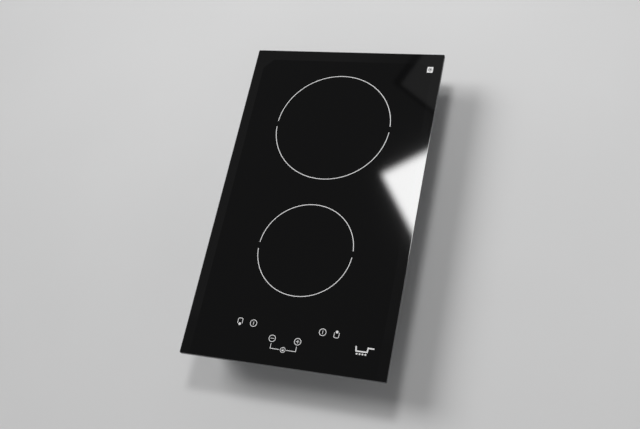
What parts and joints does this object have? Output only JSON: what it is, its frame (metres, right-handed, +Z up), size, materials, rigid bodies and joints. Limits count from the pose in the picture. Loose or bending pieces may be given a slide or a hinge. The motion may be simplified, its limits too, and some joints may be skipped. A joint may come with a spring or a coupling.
{
  "type": "electric induction cooktop",
  "caption": "Built-in domino induction hob: a black glass top over a slim steel case, with cooking zones one behind the other, touch controls at the front and swivelling fixing hooks.",
  "frame": {"origin": "middle of the footprint, level with the underside of the bottom cover", "axes": "+X to the right seen from the controls, +Y from the controls to the rear, +Z up, out of the glass"},
  "size_m": [0.3, 0.505, 0.058],
  "materials": {
    "black_glass": "polished black glass ceramic, opaque",
    "silicone": "satin",
    "foam": "closed-cell foam, matt",
    "galvanised_steel": "zinc spangle, satin",
    "sheet_aluminium": "mill finish",
    "mica": "pressed mica, satin",
    "enamelled_copper": "enamelled stranded copper",
    "black_plastic": "moulded, fine grain",
    "ferrite": "sintered, matt",
    "spring_steel": "drawn wire",
    "sensor_ceramic": "matt",
    "plated_steel": "passivated zinc",
    "grey_plastic": "moulded polyamide",
    "white_plastic": "moulded",
    "motor_steel": "satin",
    "green_laminate": "solder resist on glass laminate",
    "black_laminate": "solder resist on glass laminate",
    "extruded_aluminium": "extruded, satin",
    "black_epoxy": "moulded epoxy",
    "capacitor_case": "moulded",
    "wound_copper": "enamelled wire",
    "glass_sleeve": "braided glass sleeve",
    "ribbon": "flat cable",
    "zone_print": "fired ceramic print on the glass"
  },
  "bodies": {
    "hob": {"glass_top": "black_glass", "glass_bond": "silicone", "worktop_seal": "foam", "case_frame": "galvanised_steel", "bottom_cover": "galvanised_steel", "coil_plate": "sheet_aluminium", "rear_spring_1": "spring_steel", "rear_spring_2": "spring_steel", "rear_spring_3": "spring_steel", "front_spring_1": "spring_steel", "front_spring_2": "spring_steel", "front_spring_3": "spring_steel", "hook_screw_front_left": "plated_steel", "hook_screw_front_right": "plated_steel", "hook_screw_rear_left": "plated_steel", "hook_screw_rear_right": "plated_steel", "terminal_box": "grey_plastic", "cable_clamp": "grey_plastic", "terminal_block": "white_plastic", "insulating_base": "white_plastic", "fan_housing": "black_plastic", "touch_carrier": "black_plastic", "fan_motor": "motor_steel", "power_board": "green_laminate", "touch_board": "black_laminate", "heat_sink": "extruded_aluminium", "rear_transistor": "black_epoxy", "front_transistor": "black_epoxy", "bridge_rectifier": "black_epoxy", "mains_relay": "black_epoxy", "rear_capacitor": "capacitor_case", "front_capacitor": "capacitor_case", "filter_choke": "wound_copper", "rear_coil_leads": "glass_sleeve", "front_coil_leads": "glass_sleeve", "mains_leads": "glass_sleeve", "ribbon_cable": "ribbon"},
    "rear_coil": {"rear_mica": "mica", "rear_winding": "enamelled_copper", "rear_former": "black_plastic", "rear_ferrite_1": "ferrite", "rear_ferrite_2": "ferrite", "rear_ferrite_3": "ferrite", "rear_ferrite_4": "ferrite", "rear_sensor": "sensor_ceramic"},
    "front_coil": {"front_mica": "mica", "front_winding": "enamelled_copper", "front_former": "black_plastic", "front_ferrite_1": "ferrite", "front_ferrite_2": "ferrite", "front_ferrite_3": "ferrite", "front_ferrite_4": "ferrite", "front_sensor": "sensor_ceramic"},
    "fan": {"fan_rotor": "grey_plastic"},
    "terminal_lid": {"terminal_cover": "grey_plastic"},
    "hook_front_left_arm": {"hook_front_left": "plated_steel"},
    "hook_front_right_arm": {"hook_front_right": "plated_steel"},
    "hook_rear_left_arm": {"hook_rear_left": "plated_steel"},
    "hook_rear_right_arm": {"hook_rear_right": "plated_steel"}
  },
  "joints": [
    {"name": "fan_spin", "type": "hinge", "parent": "hob", "child": "fan", "pos_m": [0.058, 0.098, 0.0145], "axis": [0, 0, 1], "continuous": true},
    {"name": "rear_coil_float", "type": "slide", "parent": "hob", "child": "rear_coil", "axis": [0, 0, -1], "range_m": [0, 0.002], "stiffness_N_per_m": 4000, "springref_m": -0.004, "deforming": ["rear_spring_1", "rear_spring_2", "rear_spring_3"]},
    {"name": "front_coil_float", "type": "slide", "parent": "hob", "child": "front_coil", "axis": [0, 0, -1], "range_m": [0, 0.002], "stiffness_N_per_m": 3000, "springref_m": -0.004, "deforming": ["front_spring_1", "front_spring_2", "front_spring_3"]},
    {"name": "hook_front_left_swivel", "type": "hinge", "parent": "hob", "child": "hook_front_left_arm", "pos_m": [-0.126, -0.15, 0.0224], "axis": [0, 0, 1], "range_deg": [0, 90]},
    {"name": "hook_front_right_swivel", "type": "hinge", "parent": "hob", "child": "hook_front_right_arm", "pos_m": [0.126, -0.15, 0.0224], "axis": [0, 0, -1], "range_deg": [0, 90]},
    {"name": "hook_rear_left_swivel", "type": "hinge", "parent": "hob", "child": "hook_rear_left_arm", "pos_m": [-0.126, 0.12, 0.0224], "axis": [0, 0, -1], "range_deg": [0, 90]},
    {"name": "hook_rear_right_swivel", "type": "hinge", "parent": "hob", "child": "hook_rear_right_arm", "pos_m": [0.126, 0.12, 0.0224], "axis": [0, 0, 1], "range_deg": [0, 90]},
    {"name": "terminal_cover_hinge", "type": "hinge", "parent": "hob", "child": "terminal_lid", "pos_m": [0.065, 0.1625, 0.0034], "axis": [-1, 0, 0], "range_deg": [0, 100]}
  ]
}
